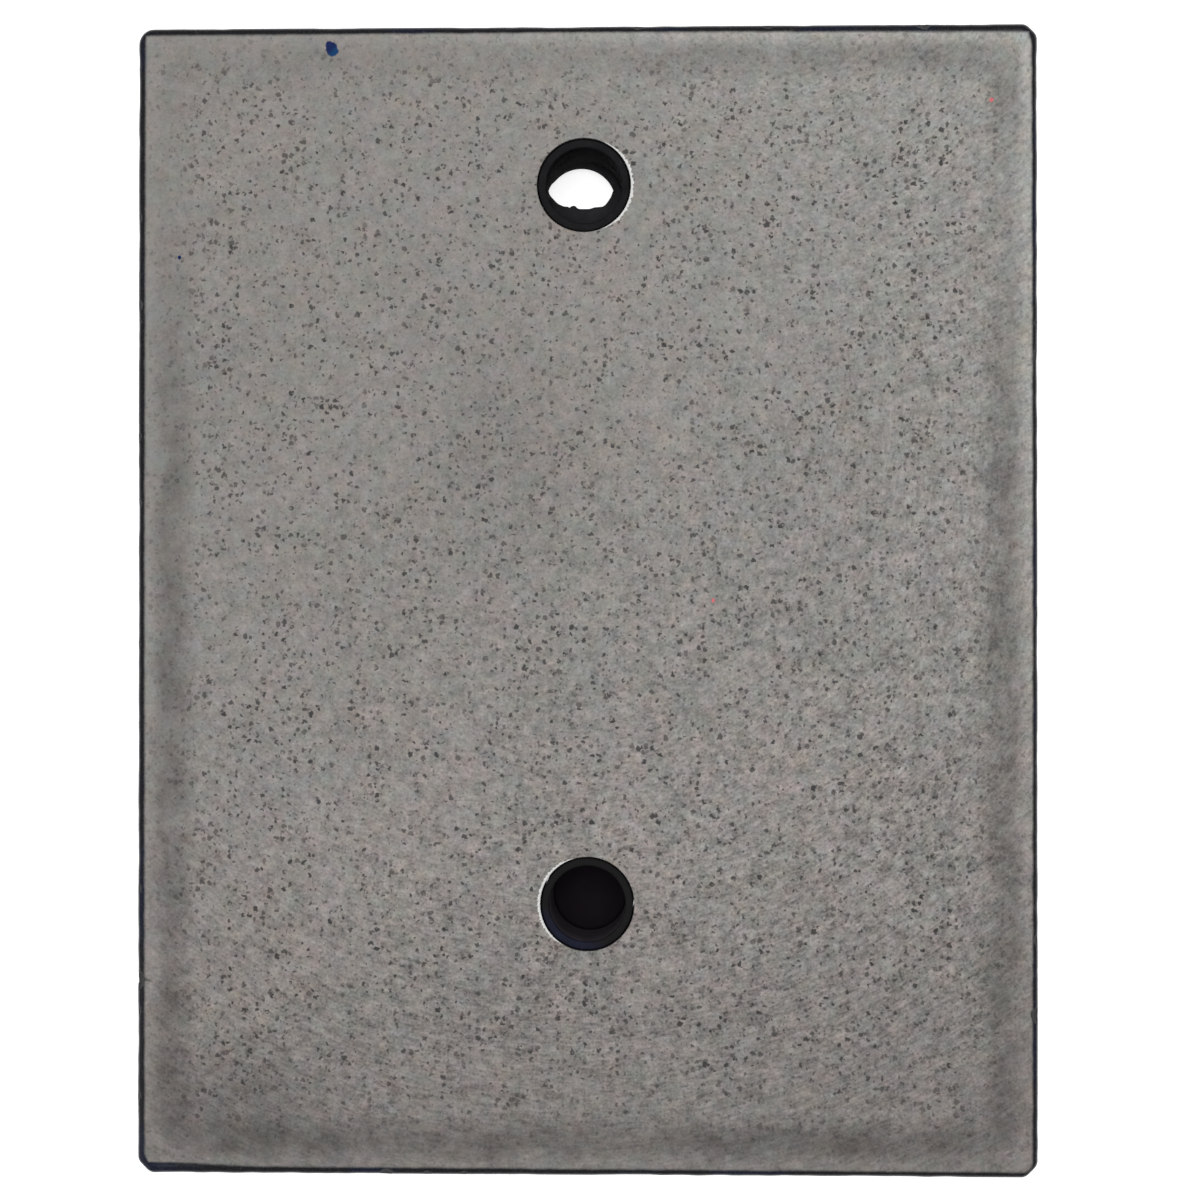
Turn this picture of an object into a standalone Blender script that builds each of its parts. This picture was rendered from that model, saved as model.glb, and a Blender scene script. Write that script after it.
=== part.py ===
"""Granite tooling slab for leatherwork: a thick stone plate with two lined bores, standing on four rubber feet.

Units are metres. The origin is on the standing plane, under the middle of the slab. +X runs across the slab,
+Y along it towards the end with the open bore, and +Z up.
"""

import math

import bmesh
import bpy
from mathutils import Vector

# Stone plate
SLAB_WIDTH = 0.235
SLAB_LENGTH = 0.300
SLAB_THICKNESS = 0.030
CORNER_RADIUS = 0.0040
TOP_ARRIS = 0.0018
BOTTOM_ARRIS = 0.0012
CORNER_SEGMENTS = 8
ARRIS_SEGMENTS = 3

# Bores, drilled right through the stone. A margin runs from the nearest end of the slab to the bore's axis.
BORE_RADIUS = 0.01225
BORE_ARRIS = 0.0003
UPPER_BORE_MARGIN = 0.0417
UPPER_BORE_X = -0.0005
LOWER_BORE_MARGIN = 0.0708
LOWER_BORE_X = 0.0004

# Lining cups, one in each bore
LINER_CLEARANCE = 0.0003
LINER_WALL = 0.00205
LINER_FLOOR = 0.0025
LINER_RECESS = 0.0004
LINER_LIP_ROUND = 0.0005
LINER_FLOOR_FILLET = 0.0010

# The upper cup's floor is cut open: a round cut, a little off the cup's axis, is closed by a shallow torn arc
OPENING_OFFSET_X = -0.0006
OPENING_OFFSET_Y = 0.0005
OPENING_LEDGE = 0.0002
TEAR_RADIUS = 0.0111
TEAR_CENTRE_RISE = 0.0096
TEAR_ROUGHNESS = 0.00022

# Feet
FOOT_RADIUS = 0.0100
FOOT_TAPER = 0.0010
FOOT_HEIGHT = 0.0040
FOOT_EDGE_ROUND = 0.0008
FOOT_INSET = 0.0250
FOOT_GAP = 0.0003

# Facets
BORE_SEGMENTS = 64
FOOT_SEGMENTS = 32
ROUND_SEGMENTS = 3
OPENING_ARC_SEGMENTS = 20
CUTTER_OVERRUN = 0.002
MERGE_DISTANCE = 1e-6
SMOOTH_ANGLE = math.radians(30)

# Levels and bore axes, from the sizes above
SLAB_BOTTOM_Z = FOOT_HEIGHT + FOOT_GAP
SLAB_TOP_Z = SLAB_BOTTOM_Z + SLAB_THICKNESS
LINER_TOP_Z = SLAB_TOP_Z - LINER_RECESS
LINER_BOTTOM_Z = SLAB_BOTTOM_Z + LINER_RECESS
LINER_OUTER_RADIUS = BORE_RADIUS - LINER_CLEARANCE
LINER_INNER_RADIUS = LINER_OUTER_RADIUS - LINER_WALL
UPPER_BORE = Vector((UPPER_BORE_X, SLAB_LENGTH / 2 - UPPER_BORE_MARGIN))
LOWER_BORE = Vector((LOWER_BORE_X, LOWER_BORE_MARGIN - SLAB_LENGTH / 2))


def clear_scene():
    for obj in list(bpy.data.objects):
        bpy.data.objects.remove(obj, do_unlink=True)


def make_material(name, colour, roughness, metallic=0.0):
    material = bpy.data.materials.new(name)
    material.use_nodes = True
    shader = material.node_tree.nodes["Principled BSDF"]
    shader.inputs["Base Color"].default_value = (*colour, 1.0)
    shader.inputs["Roughness"].default_value = roughness
    shader.inputs["Metallic"].default_value = metallic
    return material


def add_object(name, bm, material=None):
    """Writes the bmesh to a new mesh object with its normals outward."""
    bmesh.ops.recalc_face_normals(bm, faces=bm.faces)
    mesh = bpy.data.meshes.new(name)
    bm.to_mesh(mesh)
    bm.free()
    mesh.shade_smooth()
    mesh.set_sharp_from_angle(angle=SMOOTH_ANGLE)
    obj = bpy.data.objects.new(name, mesh)
    bpy.context.scene.collection.objects.link(obj)
    if material:
        mesh.materials.append(material)
    return obj


def as_cutter(obj):
    obj.hide_render = True
    obj.display_type = "WIRE"
    return obj


def cut(obj, cutter):
    modifier = obj.modifiers.new(cutter.name, "BOOLEAN")
    modifier.operation = "DIFFERENCE"
    modifier.solver = "EXACT"
    modifier.object = cutter


def arc(centre, radius, start, end, segments):
    """Points on a circle about centre, from the start angle to the end angle."""
    points = []
    for step in range(segments + 1):
        angle = start + (end - start) * step / segments
        points.append(centre + radius * Vector((math.cos(angle), math.sin(angle))))
    return points


def turned_solid(profile, segments):
    """Turns a profile of (radius, height) points, which starts and ends on the axis, about Z."""
    bm = bmesh.new()
    verts = [bm.verts.new((radius, 0.0, height)) for radius, height in profile]
    edges = [bm.edges.new(pair) for pair in zip(verts, verts[1:])]
    bmesh.ops.spin(
        bm,
        geom=verts + edges,
        cent=(0, 0, 0),
        axis=(0, 0, 1),
        angle=math.tau,
        steps=segments,
        use_merge=True,
    )
    bmesh.ops.remove_doubles(bm, verts=bm.verts, dist=MERGE_DISTANCE)
    return bm


def extruded_outline(outline, bottom, top):
    """A closed prism over a flat outline, from the bottom level to the top level."""
    bm = bmesh.new()
    verts = [bm.verts.new((point.x, point.y, bottom)) for point in outline]
    base = bm.faces.new(verts)
    grown = bmesh.ops.extrude_face_region(bm, geom=[base])
    risen = [item for item in grown["geom"] if isinstance(item, bmesh.types.BMVert)]
    bmesh.ops.translate(bm, verts=risen, vec=(0, 0, top - bottom))
    return bm


def rim_edges(bm, level):
    """The edges that lie in one horizontal plane."""
    return [e for e in bm.edges if all(abs(v.co.z - level) < MERGE_DISTANCE for v in e.verts)]


def ease_rim(bm, level, width):
    bmesh.ops.bevel(
        bm,
        geom=rim_edges(bm, level),
        offset=width,
        offset_type="OFFSET",
        affect="EDGES",
        segments=ARRIS_SEGMENTS,
        profile=0.5,
        material=-1,
    )


def bore_cutter(name, axis):
    """A drill shape that leaves a small 45 degree arris at both faces of the stone."""
    low = SLAB_BOTTOM_Z - CUTTER_OVERRUN
    high = SLAB_TOP_Z + CUTTER_OVERRUN
    flare = BORE_RADIUS + BORE_ARRIS + CUTTER_OVERRUN
    profile = [
        (0.0, high),
        (flare, high),
        (BORE_RADIUS, SLAB_TOP_Z - BORE_ARRIS),
        (BORE_RADIUS, SLAB_BOTTOM_Z + BORE_ARRIS),
        (flare, low),
        (0.0, low),
    ]
    cutter = as_cutter(add_object(name, turned_solid(profile, BORE_SEGMENTS)))
    cutter.location = (axis.x, axis.y, 0.0)
    return cutter


def build_slab(material):
    half_width = SLAB_WIDTH / 2 - CORNER_RADIUS
    half_length = SLAB_LENGTH / 2 - CORNER_RADIUS
    corners = [
        (half_width, half_length),
        (-half_width, half_length),
        (-half_width, -half_length),
        (half_width, -half_length),
    ]
    outline = []
    for index, corner in enumerate(corners):
        start = index * math.pi / 2
        outline += arc(Vector(corner), CORNER_RADIUS, start, start + math.pi / 2, CORNER_SEGMENTS)
    bm = extruded_outline(outline, SLAB_BOTTOM_Z, SLAB_TOP_Z)
    ease_rim(bm, SLAB_TOP_Z, TOP_ARRIS)
    ease_rim(bm, SLAB_BOTTOM_Z, BOTTOM_ARRIS)
    slab = add_object("granite_slab", bm, material)
    cut(slab, bore_cutter("upper_bore_cutter", UPPER_BORE))
    cut(slab, bore_cutter("lower_bore_cutter", LOWER_BORE))
    return slab


def liner_profile():
    """Half section of a lining cup, from the middle of its floor's top face round to the middle of its underside."""
    lip = LINER_LIP_ROUND
    fillet = LINER_FLOOR_FILLET
    floor_top = LINER_BOTTOM_Z + LINER_FLOOR
    fillet_centre = Vector((LINER_INNER_RADIUS - fillet, floor_top + fillet))
    inner_lip = Vector((LINER_INNER_RADIUS + lip, LINER_TOP_Z - lip))
    outer_lip = Vector((LINER_OUTER_RADIUS - lip, LINER_TOP_Z - lip))
    outer_foot = Vector((LINER_OUTER_RADIUS - lip, LINER_BOTTOM_Z + lip))
    quarter = math.pi / 2
    profile = [Vector((0.0, floor_top))]
    profile += arc(fillet_centre, fillet, -quarter, 0.0, ROUND_SEGMENTS)
    profile += arc(inner_lip, lip, 2 * quarter, quarter, ROUND_SEGMENTS)
    profile += arc(outer_lip, lip, quarter, 0.0, ROUND_SEGMENTS)
    profile += arc(outer_foot, lip, 0.0, -quarter, ROUND_SEGMENTS)
    profile.append(Vector((0.0, LINER_BOTTOM_Z)))
    return [(point.x, point.y) for point in profile]


def build_liner(name, axis, material):
    liner = add_object(name, turned_solid(liner_profile(), BORE_SEGMENTS), material)
    liner.location = (axis.x, axis.y, 0.0)
    return liner


def torn_arc(half_angle):
    """The torn side of the opening: a shallow arc whose radius wanders a little, and not at its two ends."""
    centre = Vector((0.0, TEAR_CENTRE_RISE))
    points = []
    for step in range(1, OPENING_ARC_SEGMENTS):
        share = step / OPENING_ARC_SEGMENTS
        angle = -math.pi / 2 - half_angle + 2 * half_angle * share
        wander = math.sin(13 * math.pi * share) + 0.6 * math.sin(31 * math.pi * share + 0.7)
        radius = TEAR_RADIUS - TEAR_ROUGHNESS * wander * math.sin(math.pi * share)
        points.append(centre + radius * Vector((math.cos(angle), math.sin(angle))))
    return points


def floor_opening_cutter(axis):
    """An eye-shaped prism where the round cut and the tearing circle overlap."""
    offset = Vector((OPENING_OFFSET_X, OPENING_OFFSET_Y))
    round_radius = LINER_INNER_RADIUS - offset.length - OPENING_LEDGE
    rise = TEAR_CENTRE_RISE
    meet_y = (round_radius**2 - TEAR_RADIUS**2 + rise**2) / (2 * rise)
    round_angle = math.asin(meet_y / round_radius)
    tear_half_angle = math.acos((rise - meet_y) / TEAR_RADIUS)
    middle = Vector((0.0, 0.0))
    outline = arc(middle, round_radius, round_angle, math.pi - round_angle, OPENING_ARC_SEGMENTS)
    outline += torn_arc(tear_half_angle)
    low = LINER_BOTTOM_Z - CUTTER_OVERRUN
    high = LINER_BOTTOM_Z + LINER_FLOOR + LINER_FLOOR_FILLET + CUTTER_OVERRUN
    cutter = as_cutter(add_object("floor_opening_cutter", extruded_outline(outline, low, high)))
    cutter.location = (axis.x + offset.x, axis.y + offset.y, 0.0)
    return cutter


def build_foot(name, x, y, material):
    edge = FOOT_EDGE_ROUND
    sole_radius = FOOT_RADIUS - FOOT_TAPER
    profile = [Vector((0.0, FOOT_HEIGHT)), Vector((FOOT_RADIUS, FOOT_HEIGHT))]
    profile += arc(Vector((sole_radius - edge, edge)), edge, 0.0, -math.pi / 2, ROUND_SEGMENTS)
    profile.append(Vector((0.0, 0.0)))
    bm = turned_solid([(point.x, point.y) for point in profile], FOOT_SEGMENTS)
    foot = add_object(name, bm, material)
    foot.location = (x, y, 0.0)
    return foot


def build_feet(material):
    x = SLAB_WIDTH / 2 - FOOT_INSET
    y = SLAB_LENGTH / 2 - FOOT_INSET
    build_foot("foot_rear_left", -x, y, material)
    build_foot("foot_rear_right", x, y, material)
    build_foot("foot_front_left", -x, -y, material)
    build_foot("foot_front_right", x, -y, material)


def main():
    clear_scene()
    stone = make_material("granite", (0.25, 0.24, 0.225), 0.6)
    lining = make_material("liner_rubber", (0.018, 0.018, 0.021), 0.55)
    rubber = make_material("foot_rubber", (0.022, 0.022, 0.022), 0.8)
    build_slab(stone)
    upper_liner = build_liner("upper_bore_liner", UPPER_BORE, lining)
    cut(upper_liner, floor_opening_cutter(UPPER_BORE))
    build_liner("lower_bore_liner", LOWER_BORE, lining)
    build_feet(rubber)


main()
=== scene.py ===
import math
import random

import bmesh
import bpy
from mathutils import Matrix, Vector, noise


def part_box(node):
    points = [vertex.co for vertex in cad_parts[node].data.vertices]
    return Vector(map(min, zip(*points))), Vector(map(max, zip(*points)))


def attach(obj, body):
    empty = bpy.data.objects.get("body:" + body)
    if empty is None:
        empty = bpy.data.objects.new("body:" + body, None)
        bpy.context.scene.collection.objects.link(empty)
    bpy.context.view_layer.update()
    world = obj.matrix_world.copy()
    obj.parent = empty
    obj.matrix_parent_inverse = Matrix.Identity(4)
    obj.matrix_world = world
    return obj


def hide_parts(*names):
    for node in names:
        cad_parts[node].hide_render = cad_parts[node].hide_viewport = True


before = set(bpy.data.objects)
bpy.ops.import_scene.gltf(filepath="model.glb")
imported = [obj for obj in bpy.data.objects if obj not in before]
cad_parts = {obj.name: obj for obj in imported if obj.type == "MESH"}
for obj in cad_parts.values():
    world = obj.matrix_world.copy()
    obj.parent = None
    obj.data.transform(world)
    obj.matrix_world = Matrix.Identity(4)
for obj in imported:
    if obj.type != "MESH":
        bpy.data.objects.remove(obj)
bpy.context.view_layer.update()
print("frame:", len(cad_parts), "nodes")

mm = 0.001
hair = 0.01 * mm  # levels closer than this are the same
merge = 0.001 * mm
sharpAngle = 32  # degrees: edges that turn more than this stay crisp
linerGap = 0.3 * mm  # between a bore and its cup
slabLow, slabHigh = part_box("granite_slab")
faceLevel = slabHigh.z
soleLevel = slabLow.z
halfWidth = slabHigh.x
halfLength = slabHigh.y


def axisOf(node):  # the upright axis through the middle of a round node
    low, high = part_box(node)
    return Vector(((low.x + high.x) / 2, (low.y + high.y) / 2, 0))


upperBore = axisOf("upper_bore_liner")
lowerBore = axisOf("lower_bore_liner")
linerLow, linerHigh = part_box("upper_bore_liner")
linerRadius = (linerHigh.x - linerLow.x) / 2
boreRadius = linerRadius + linerGap


class Wire:  # a node's output, so that shader maths reads as arithmetic
    def __init__(self, finish, socket):
        self.finish = finish
        self.socket = socket

    def __add__(self, other):
        return self.finish.maths("ADD", self, other)

    def __radd__(self, other):
        return self.finish.maths("ADD", other, self)

    def __sub__(self, other):
        return self.finish.maths("SUBTRACT", self, other)

    def __rsub__(self, other):
        return self.finish.maths("SUBTRACT", other, self)

    def __mul__(self, other):
        return self.finish.maths("MULTIPLY", self, other)

    def __rmul__(self, other):
        return self.finish.maths("MULTIPLY", other, self)

    def __truediv__(self, other):
        return self.finish.maths("DIVIDE", self, other)

    def other(self, output):  # another output of the same node
        return Wire(self.finish, self.socket.node.outputs[output])


class Finish:  # one material; place is a point on the piece in millimetres
    def __init__(self, name, fixed):
        self.material = bpy.data.materials.new(name)
        self.material.use_nodes = True
        self.tree = self.material.node_tree
        self.surface = self.tree.nodes["Principled BSDF"]
        for socket, value in fixed.items():
            self.surface.inputs[socket].default_value = value
        metres = self.node("ShaderNodeTexCoord", output="Object")
        self.place = self.vector("SCALE", metres, scale=1000.0)

    def node(self, kind, settings=None, inputs=None, output=0):
        made = self.tree.nodes.new(kind)
        for name, value in (settings or {}).items():
            setattr(made, name, value)
        for key, value in (inputs or {}).items():
            self.feed(made.inputs[key], value)
        return Wire(self, made.outputs[output])

    def feed(self, socket, value):
        if isinstance(value, Wire):
            self.tree.links.new(value.socket, socket)
        else:
            socket.default_value = value

    def show(self, socket, value):
        self.feed(self.surface.inputs[socket], value)

    def maths(self, operation, *values):
        return self.node("ShaderNodeMath", {"operation": operation}, dict(enumerate(values)))

    def vector(self, operation, first, second=None, scale=None):
        inputs = {0: first}
        if second is not None:
            inputs[1] = second
        if scale is not None:
            inputs["Scale"] = scale
        return self.node("ShaderNodeVectorMath", {"operation": operation}, inputs)

    def split(self, vector):
        return [self.node("ShaderNodeSeparateXYZ", None, {0: vector}, axis) for axis in "XYZ"]

    def join(self, x, y, z):
        return self.node("ShaderNodeCombineXYZ", None, {0: x, 1: y, 2: z})

    def length(self, vector):
        return self.node("ShaderNodeVectorMath", {"operation": "LENGTH"}, {0: vector}, "Value")

    def smooth(self, value, start, end, low=0.0, high=1.0):
        # goes from low to high as value goes from start to end
        settings = {"interpolation_type": "SMOOTHSTEP"}
        return self.node("ShaderNodeMapRange", settings, {0: value, 1: start, 2: end, 3: low, 4: high})

    def mottle(self, vector, size, detail=2.0, roughness=0.5):
        # soft noise about 0, with lumps of about that size
        inputs = {"Vector": vector, "Scale": 1.0 / size, "Detail": detail, "Roughness": roughness}
        return self.node("ShaderNodeTexNoise", None, inputs) - 0.5

    def warped(self, vector, size, amount):  # the same point, pushed about by noise
        inputs = {"Vector": vector, "Scale": 1.0 / size, "Detail": 1.0}
        push = self.node("ShaderNodeTexNoise", None, inputs, "Color")
        centred = self.vector("SUBTRACT", push, (0.5, 0.5, 0.5))
        return self.vector("ADD", vector, self.vector("SCALE", centred, scale=amount))

    def grains(self, vector, pitch):
        # distance to the nearest grain's middle, and two numbers that are its own
        inputs = {"Vector": vector, "Scale": 1.0 / pitch, "Randomness": 1.0}
        cells = self.node("ShaderNodeTexVoronoi", {"feature": "F1"}, inputs, "Distance")
        own = self.split(cells.other("Color"))
        return cells * pitch, own[0], own[1]

    def blend(self, factor, first, second):  # a colour between two
        return self.node("ShaderNodeMix", {"data_type": "RGBA"}, {0: factor, 6: first, 7: second}, 2)

    def tinted(self, colour, value):  # a colour made lighter or darker by a number
        settings = {"data_type": "RGBA", "blend_type": "MULTIPLY"}
        grey = self.join(value, value, value)
        return self.node("ShaderNodeMix", settings, {0: 1.0, 6: colour, 7: grey}, 2)

    def relief(self, height, depth):  # height from 0 to 1, depth in metres
        inputs = {"Height": height, "Distance": depth, "Strength": 1.0}
        self.show("Normal", self.node("ShaderNodeBump", None, inputs))


def rgb(red, green, blue):
    return (red, green, blue, 1.0)


def addPiece(name, bm, finishes, nodes):
    mesh = bpy.data.meshes.new(name)
    bm.to_mesh(mesh)
    bm.free()
    mesh.shade_smooth()
    mesh.set_sharp_from_angle(angle=math.radians(sharpAngle))
    for finish in finishes:
        mesh.materials.append(finish.material)
    piece = bpy.data.objects.new(name, mesh)
    bpy.context.scene.collection.objects.link(piece)
    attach(piece, "root")
    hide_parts(*nodes)
    return piece


def arc(centre, radius, start, end, segments):  # points from one angle to another, in degrees
    points = []
    for step in range(segments + 1):
        angle = math.radians(start + (end - start) * step / segments)
        points.append(centre + radius * Vector((math.cos(angle), math.sin(angle))))
    return points


def turned(profile, segments, axis):  # spins a half section of (radius, level) about an upright axis
    bm = bmesh.new()
    verts = [bm.verts.new((point[0], 0, point[1])) for point in profile]
    edges = [bm.edges.new(pair) for pair in zip(verts, verts[1:])]
    bmesh.ops.spin(
        bm, geom=verts + edges, cent=(0, 0, 0), axis=(0, 0, 1),
        angle=math.tau, steps=segments, use_merge=True,
    )
    bmesh.ops.remove_doubles(bm, verts=bm.verts, dist=merge)
    bmesh.ops.recalc_face_normals(bm, faces=bm.faces)
    bmesh.ops.translate(bm, verts=bm.verts, vec=axis)
    return bm


cameraSettings = {
    "place": (20.7 * mm, -3.85 * mm, 682.9 * mm),  # nearly straight above the middle of the slab
    "turn": (0.34, 1.499, 0.004),  # degrees
    "lens": 74.7,
    "sensor": 36.0,
    "clip": 0.01,
}


def makeCamera():
    data = bpy.data.cameras.new("camera")
    data.lens = cameraSettings["lens"]
    data.sensor_width = cameraSettings["sensor"]
    data.clip_start = cameraSettings["clip"]
    camera = bpy.data.objects.new("camera", data)
    camera.location = cameraSettings["place"]
    camera.rotation_euler = [math.radians(turn) for turn in cameraSettings["turn"]]
    bpy.context.scene.collection.objects.link(camera)
    bpy.context.scene.camera = camera


studio = {
    "floorSize": 6.0,
    "floorTone": (0.92, 0.92, 0.92),
    "floorRough": 0.9,
    "floorGlow": 0.68,  # the sheet is lit a little from beneath, so that shadows stay pale
    "fibre": 1.6,  # millimetres
    "fibreShade": 0.02,
    "roomStrength": 0.26,
    "keyPlace": (0.0, 0.115, 1.40),  # straight over the upper bore, so that light falls right through it
    "keyAim": (0.0, 0.069, 0.0),
    "keySize": 0.75,
    "keyPower": 11.0,
    "sidePlace": (-1.3, -0.9, 0.9),
    "sideAim": (0.0, -0.54, 0.0),
    "sideSize": 1.2,
    "sidePower": 2.0,
}


def addLight(name):  # name is key or side
    place = Vector(studio[name + "Place"])
    data = bpy.data.lights.new(name, "AREA")
    data.shape = "SQUARE"
    data.size = studio[name + "Size"]
    data.energy = studio[name + "Power"]
    light = bpy.data.objects.new(name, data)
    light.location = place
    light.rotation_euler = (place - Vector(studio[name + "Aim"])).to_track_quat("Z", "Y").to_euler()
    bpy.context.scene.collection.objects.link(light)


def makeStudio():
    fixed = {"Roughness": studio["floorRough"], "Emission Strength": studio["floorGlow"]}
    sheet = Finish("floor_paper", fixed)
    fibres = sheet.mottle(sheet.place, studio["fibre"], 4.0)
    tone = 1.0 + studio["fibreShade"] * fibres
    sheet.show("Base Color", sheet.tinted(rgb(*studio["floorTone"]), tone))
    sheet.surface.inputs["Emission Color"].default_value = rgb(1, 1, 1)
    bm = bmesh.new()
    bmesh.ops.create_grid(bm, x_segments=8, y_segments=8, size=studio["floorSize"] / 2)
    mesh = bpy.data.meshes.new("floor")
    bm.to_mesh(mesh)
    bm.free()
    mesh.materials.append(sheet.material)
    floor = bpy.data.objects.new("floor", mesh)
    bpy.context.scene.collection.objects.link(floor)
    world = bpy.data.worlds.new("room")
    world.use_nodes = True
    backdrop = world.node_tree.nodes["Background"]
    backdrop.inputs["Color"].default_value = rgb(1.0, 1.0, 1.0)
    backdrop.inputs["Strength"].default_value = studio["roomStrength"]
    bpy.context.scene.world = world
    bpy.context.scene.view_settings.view_transform = "Standard"
    addLight("key")
    addLight("side")


stone = {
    "black": (0.0105, 0.0108, 0.0135),  # the stone where it is polished, and its blue patches
    "blueBlack": (0.0085, 0.0115, 0.0270),
    "crystal": (0.120, 0.120, 0.124),
    "sawn": (0.105, 0.103, 0.100),
    "drilled": (0.045, 0.045, 0.047),
    "chipped": (0.050, 0.050, 0.052),
    "chippedRough": 0.75,
    # the painted glint beside each bore
    "paintedGlint": (0.86, 0.86, 0.85),
    "paint": (0.008, 0.022, 0.105),
    "thinPaint": (0.008, 0.058, 0.170),
    "rouge": (0.80, 0.16, 0.18),
    "groundGloss": 0.32,
    "roughGloss": 0.4,
}
paintDabs = [  # (middle, half sizes, turn in degrees), in millimetres
    ((-66.5, 144.2), (1.5, 2.05), 22.0),
    ((-106.45, 89.7), (0.45, 0.55), 0.0),
]
rougeDots = [
    ((105.45, 129.95), (0.55, 0.5), 0.0),
    ((33.2, -0.1), (0.4, 0.5), 0.0),
]


def edgeDistance(finish, x, y, corner):  # millimetres in from the outline, whose corners have this radius
    across = finish.maths("ABSOLUTE", x) - (halfWidth / mm - corner)
    along = finish.maths("ABSOLUTE", y) - (halfLength / mm - corner)
    beyond = finish.join(finish.maths("MAXIMUM", across, 0.0), finish.maths("MAXIMUM", along, 0.0), 0.0)
    within = finish.maths("MINIMUM", finish.maths("MAXIMUM", across, along), 0.0)
    return corner - finish.length(beyond) - within


dabEdge = {
    "wander": 0.5,
    "wanderSize": 1.1,
    "soft": (1.15, 0.9),
}


def spots(finish, x, y, listed):  # 1 inside each small tilted ellipse, with a wandering edge
    shown = 0.0
    for centre, halfSizes, turn in listed:
        cosine, sine = math.cos(math.radians(turn)), math.sin(math.radians(turn))
        dx, dy = x - centre[0], y - centre[1]
        across = (dx * cosine + dy * sine) / halfSizes[0]
        along = (dy * cosine - dx * sine) / halfSizes[1]
        wander = dabEdge["wander"] * finish.mottle(finish.place, dabEdge["wanderSize"])
        reach = finish.length(finish.join(across, along, 0.0)) + wander
        shown = finish.maths("MAXIMUM", shown, finish.smooth(reach, *dabEdge["soft"]))
    return shown


def shadeSpot(finish, x, y, centre, halfSizes):  # a broad soft spot, 1 in its middle
    across = (x - centre[0]) / halfSizes[0]
    along = (y - centre[1]) / halfSizes[1]
    return finish.smooth(finish.length(finish.join(across, along, 0.0)), 1.2, 0.1)


crescent = {  # a painted glint beside each bore: a pale crescent on the face, in millimetres and degrees
    "upperHeading": -2.0,
    "lowerHeading": 172.0,
    "spread": 74.0,  # from its middle to its tips
    "fullSpread": 0.4,  # the share of that where it keeps its width
    "width": 0.62,
    "gap": 0.05,
    "crumbs": 2.2,
    "crumbSize": 0.7,
    "soft": 0.12,
}


def paintedGlint(finish, x, y, axis, heading):  # a painted glint: a pale crescent on the face, just outside a bore
    dx, dy = x - axis.x / mm, y - axis.y / mm
    radius = finish.length(finish.join(dx, dy, 0.0))
    cosine, sine = math.cos(math.radians(heading)), math.sin(math.radians(heading))
    facing = (dx * cosine + dy * sine) / radius
    tip = math.cos(math.radians(crescent["spread"]))
    full = math.cos(math.radians(crescent["fullSpread"] * crescent["spread"]))
    width = finish.smooth(facing, tip, full, 0.0, crescent["width"])
    crumbs = crescent["crumbs"] * finish.mottle(finish.place, crescent["crumbSize"])
    edge = boreRadius / mm + crescent["gap"] + width + crumbs * width
    soft = crescent["soft"]
    return finish.smooth(radius - edge, soft, -soft) * finish.smooth(width, 0.02, 0.12)


grain = {  # the dark mineral grains, in millimetres
    "crowdSize": 9.0,
    "ragged": 0.8,
    "raggedSize": 0.6,
}
strongGrains = {
    "warpSize": 1.2,
    "warp": 1.6,
    "pitch": 1.75,
    "radius": 0.06,
    "growth": 0.56,  # how much a grain's own size adds to its radius
    "crowding": 0.8,  # and how much the crowding adds
    "soft": (0.24, -0.12),
    "palest": 0.52,  # where the darkest is 1
}
faintGrains = {
    "warpSize": 0.6,
    "warp": 0.8,
    "pitch": 1.15,
    "radius": 0.0,
    "growth": 0.38,
    "crowding": 0.4,
    "soft": (0.2, -0.12),
    "palest": 0.0,
}


def stoneSpecks(finish):  # the grains go through the whole stone: some strong ones and many faint ones
    crowd = finish.mottle(finish.place, grain["crowdSize"], 2.0)  # they crowd together here and there
    ragged = grain["ragged"] * finish.mottle(finish.place, grain["raggedSize"], 1.0)
    found = []
    for look in (strongGrains, faintGrains):
        pushed = finish.warped(finish.place, look["warpSize"], look["warp"])
        reach, size, depth = finish.grains(pushed, look["pitch"])
        radius = look["radius"] + look["growth"] * size + look["crowding"] * crowd
        shown = finish.smooth(reach + ragged - radius, *look["soft"])
        found.append(shown * (look["palest"] + (1.0 - look["palest"]) * depth))
    return found


scratchGlint = {  # fine scratches, with a painted glint along them, curve round these two points, in millimetres
    "centre": (-5.0, 45.0, 0.0),
    "farCentre": (40.0, 190.0, 0.0),  # for the marks towards the rear right corner
    "turns": 32.0,  # how often the marks break up on their way round
    "fineTimes": 2.0,
    "fineShade": 0.4,
}


def scratchesAndGlint(finish, x, y, centre):  # fine scratches with their painted glint: noise drawn out along circles round a point
    arm = finish.vector("SUBTRACT", finish.join(x, y, 0.0), centre)
    radius = finish.length(arm)
    heading = finish.split(finish.vector("SCALE", finish.vector("NORMALIZE", arm), scale=scratchGlint["turns"]))
    times = scratchGlint["fineTimes"]
    broad = finish.mottle(finish.join(radius, heading[0], heading[1]), 1.0, 1.0)
    fine = finish.mottle(finish.join(radius * times, heading[0] * times, heading[1] * times), 1.0, 1.0)
    return broad + scratchGlint["fineShade"] * fine


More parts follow.
